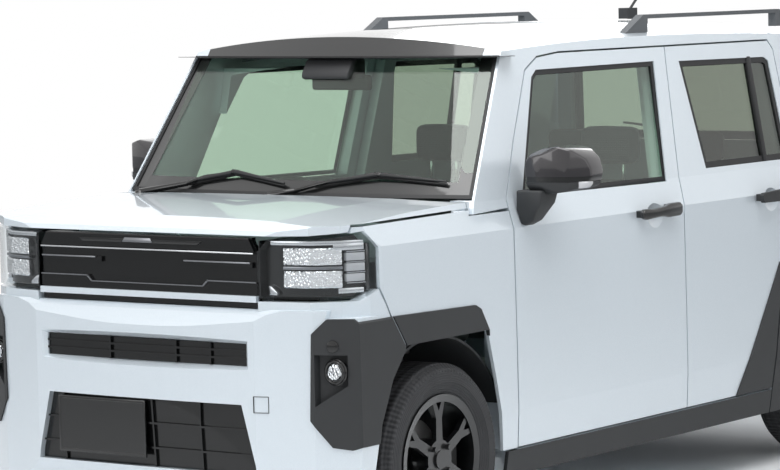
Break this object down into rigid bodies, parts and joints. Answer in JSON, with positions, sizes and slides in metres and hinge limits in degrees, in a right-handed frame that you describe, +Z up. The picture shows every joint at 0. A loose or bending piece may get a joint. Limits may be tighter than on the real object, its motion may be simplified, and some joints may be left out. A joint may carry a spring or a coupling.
{
  "type": "kei car",
  "caption": "Small boxy crossover car with four doors, hood, tailgate, glass roof, steered front wheels and free-turning wheels.",
  "frame": {"origin": "on the ground under the middle of the car's length and width", "axes": "+X towards the car's left side, -Y towards its front, +Z up"},
  "size_m": [1.868, 3.394, 1.7286],
  "materials": {
    "body_paint": "gloss",
    "structure_paint": "satin",
    "roof_black": "gloss",
    "black_trim": "matte",
    "gloss_black": "gloss",
    "grille_dark": "satin",
    "lamp": "gloss",
    "rear_lamp_red": "gloss",
    "glass_clear": "clear",
    "glass_dark": "tinted",
    "interior_plastic": "matte",
    "seat_fabric": "woven",
    "wheel_paint": "gloss",
    "tyre": "matte",
    "steel_parts": "rough",
    "pipe_metal": "satin",
    "rail_grey": "satin",
    "steering_leather": "matte"
  },
  "bodies": {
    "body": {"floor_pan": "structure_paint", "front_body": "structure_paint", "wheelhouses": "black_trim", "side_frame_left": "body_paint", "side_frame_right": "body_paint", "roof_panel": "body_paint", "roof_header": "roof_black", "roof_glass": "glass_dark", "windscreen": "glass_clear", "front_fenders": "body_paint", "front_bumper": "body_paint", "bumper_corners": "black_trim", "grille": "grille_dark", "headlamps": "lamp", "body_claddings": "black_trim", "cowl": "black_trim", "roof_rails": "rail_grey", "antenna": "black_trim", "dashboard": "interior_plastic", "seats": "seat_fabric", "rear_bumper": "body_paint", "rear_lamps": "rear_lamp_red", "engine": "steel_parts", "exhaust": "pipe_metal", "fuel_tank": "interior_plastic", "front_suspension": "steel_parts", "rear_axle": "steel_parts"},
    "steering_wheel": {"steering_wheel": "steering_leather"},
    "hood": {"hood": "body_paint"},
    "tailgate": {"tailgate": "body_paint", "tailgate_glass": "glass_dark"},
    "knuckle_left": {"knuckle_left": "steel_parts"},
    "front_door_left": {"front_door_left": "body_paint", "front_door_glass_left": "glass_clear", "front_door_fittings_left": "gloss_black"},
    "wheel_front_left": {"rim_front_left": "wheel_paint", "tyre_front_left": "tyre"},
    "rear_door_left": {"rear_door_left": "body_paint", "rear_door_glass_left": "glass_dark", "rear_door_fittings_left": "black_trim"},
    "wheel_rear_left": {"rim_rear_left": "wheel_paint", "tyre_rear_left": "tyre"},
    "knuckle_right": {"knuckle_right": "steel_parts"},
    "front_door_right": {"front_door_right": "body_paint", "front_door_glass_right": "glass_clear", "front_door_fittings_right": "gloss_black"},
    "wheel_front_right": {"rim_front_right": "wheel_paint", "tyre_front_right": "tyre"},
    "rear_door_right": {"rear_door_right": "body_paint", "rear_door_glass_right": "glass_dark", "rear_door_fittings_right": "black_trim"},
    "wheel_rear_right": {"rim_rear_right": "wheel_paint", "tyre_rear_right": "tyre"}
  },
  "joints": [
    {"name": "steer_left", "type": "hinge", "parent": "body", "child": "knuckle_left", "pos_m": [0.53, -1.142, 0.296], "axis": [0, 0, 1], "range_deg": [-32, 32]},
    {"name": "steer_right", "type": "hinge", "parent": "body", "child": "knuckle_right", "pos_m": [-0.53, -1.142, 0.296], "axis": [0, 0, 1], "range_deg": [-32, 32]},
    {"name": "steering_wheel_turn", "type": "hinge", "parent": "body", "child": "steering_wheel", "pos_m": [-0.355, -0.395, 0.93], "axis": [0, 0.9135, 0.4067], "range_deg": [-480, 480]},
    {"name": "wheel_spin_front_left", "type": "hinge", "parent": "knuckle_left", "child": "wheel_front_left", "pos_m": [0.65, -1.142, 0.296], "axis": [1, 0, 0], "continuous": true},
    {"name": "wheel_spin_rear_left", "type": "hinge", "parent": "body", "child": "wheel_rear_left", "pos_m": [0.65, 1.318, 0.296], "axis": [1, 0, 0], "continuous": true},
    {"name": "front_door_left_swing", "type": "hinge", "parent": "body", "child": "front_door_left", "pos_m": [0.73, -0.756, 0.7], "axis": [0, 0, -1], "range_deg": [0, 65]},
    {"name": "rear_door_left_swing", "type": "hinge", "parent": "body", "child": "rear_door_left", "pos_m": [0.73, 0.284, 0.7], "axis": [0, 0, -1], "range_deg": [0, 65]},
    {"name": "wheel_spin_front_right", "type": "hinge", "parent": "knuckle_right", "child": "wheel_front_right", "pos_m": [-0.65, -1.142, 0.296], "axis": [1, 0, 0], "continuous": true},
    {"name": "wheel_spin_rear_right", "type": "hinge", "parent": "body", "child": "wheel_rear_right", "pos_m": [-0.65, 1.318, 0.296], "axis": [1, 0, 0], "continuous": true},
    {"name": "front_door_right_swing", "type": "hinge", "parent": "body", "child": "front_door_right", "pos_m": [-0.73, -0.756, 0.7], "axis": [0, 0, 1], "range_deg": [0, 65]},
    {"name": "rear_door_right_swing", "type": "hinge", "parent": "body", "child": "rear_door_right", "pos_m": [-0.73, 0.284, 0.7], "axis": [0, 0, 1], "range_deg": [0, 65]},
    {"name": "hood_lift", "type": "hinge", "parent": "body", "child": "hood", "pos_m": [0, -0.94, 1.095], "axis": [-1, 0, 0], "range_deg": [0, 50]},
    {"name": "tailgate_lift", "type": "hinge", "parent": "body", "child": "tailgate", "pos_m": [0, 1.468, 1.592], "axis": [1, 0, 0], "range_deg": [0, 80]}
  ],
  "couplings": [
    {"joint": "steer_right", "follows": "steer_left", "ratio": 1},
    {"joint": "steering_wheel_turn", "follows": "steer_left", "ratio": 15}
  ]
}
